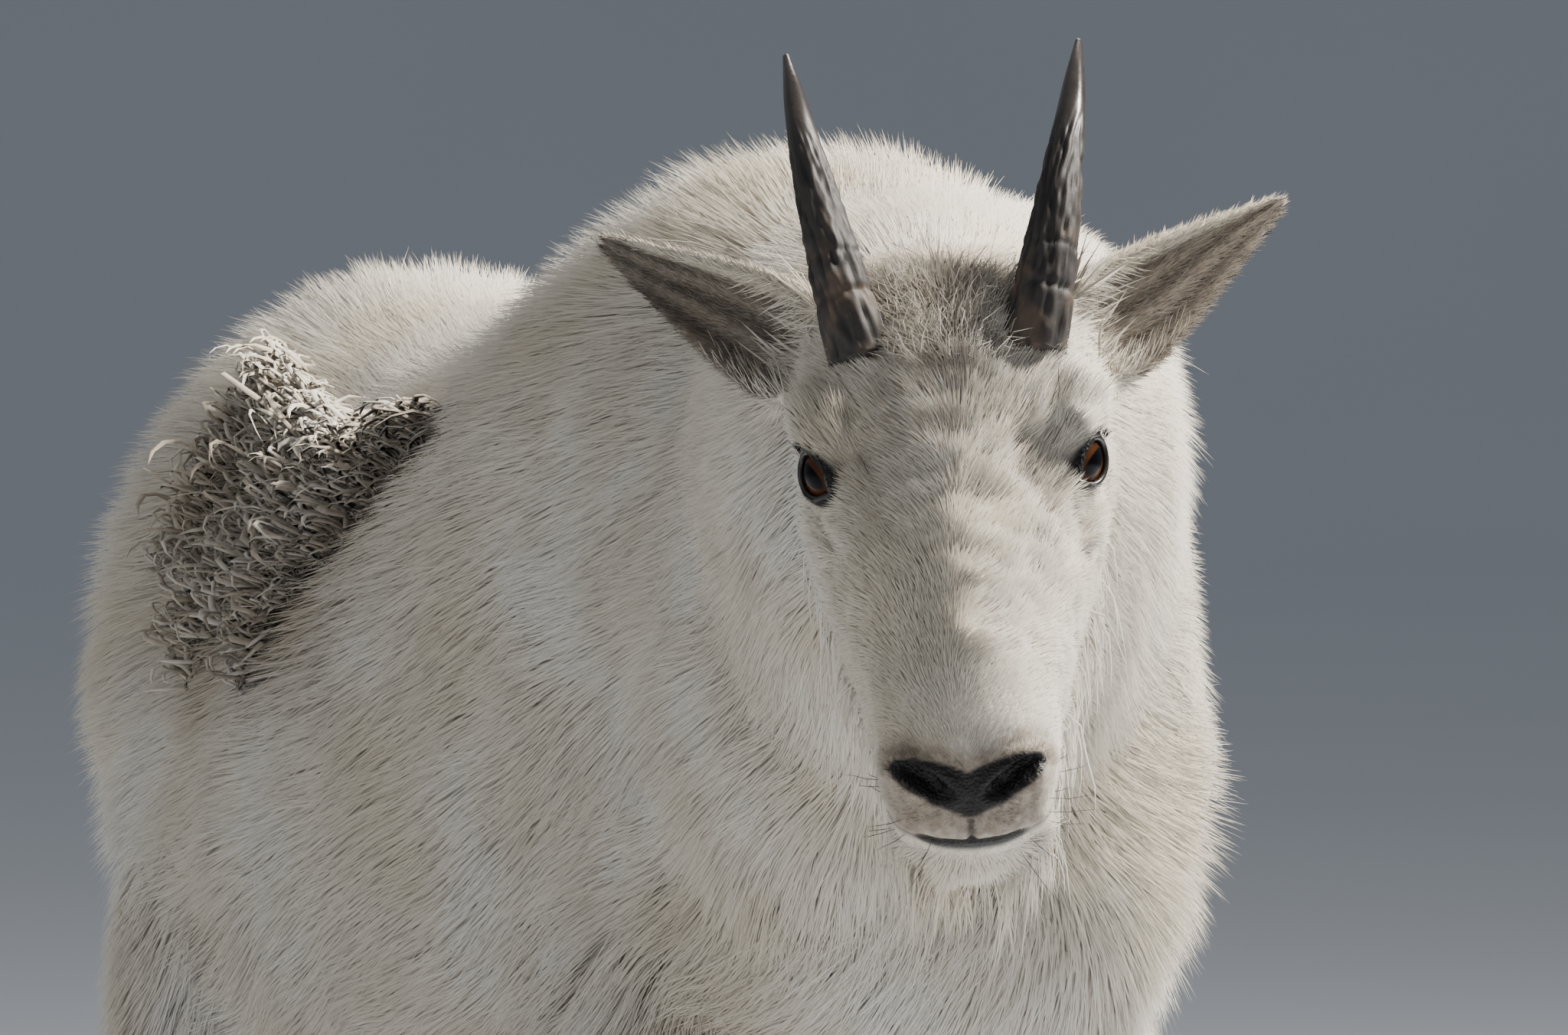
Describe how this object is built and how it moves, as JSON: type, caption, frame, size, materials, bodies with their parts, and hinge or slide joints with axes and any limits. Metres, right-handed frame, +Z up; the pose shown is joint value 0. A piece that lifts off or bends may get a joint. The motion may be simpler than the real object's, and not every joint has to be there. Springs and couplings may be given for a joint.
{
  "type": "mountain goat",
  "caption": "Life-size standing mountain goat with a deep white coat, black horns, and its head lowered and turned to its right; a still model.",
  "frame": {"origin": "on the floor, below the middle of the bounding box", "axes": "+Z up; the body faces -Y; the goat's left side is at +X"},
  "size_m": [0.4142, 1.162, 0.8957],
  "materials": {
    "body_coat": "deep, soft, creamy white coat",
    "ear_coat": "short hair, buff-grey inside the cup, white on the rim and back",
    "eye": "wet, dark amber-brown, with a level pupil",
    "face_coat": "short flat white hair with a bare black nose",
    "hoof": "dark hoof horn, satin",
    "horn": "black-brown horn, rough and fissured below, smooth and satin at the tip",
    "leg_coat": "short flat white hair"
  },
  "bodies": {
    "root": {"ear_left": "ear_coat", "ear_right": "ear_coat", "eye_left": "eye", "eye_right": "eye", "front_leg_lower_left": "leg_coat", "front_leg_lower_right": "leg_coat", "front_leg_upper_left": "body_coat", "front_leg_upper_right": "body_coat", "head": "face_coat", "hind_leg_lower_left": "leg_coat", "hind_leg_lower_right": "leg_coat", "hind_leg_upper_left": "body_coat", "hind_leg_upper_right": "body_coat", "hoof_front_left_inner": "hoof", "hoof_front_left_outer": "hoof", "hoof_front_right_inner": "hoof", "hoof_front_right_outer": "hoof", "hoof_hind_left_inner": "hoof", "hoof_hind_left_outer": "hoof", "hoof_hind_right_inner": "hoof", "hoof_hind_right_outer": "hoof", "horn_left": "horn", "horn_right": "horn", "lower_jaw": "face_coat", "neck": "body_coat", "tail": "body_coat", "torso": "body_coat"}
  },
  "joints": []
}
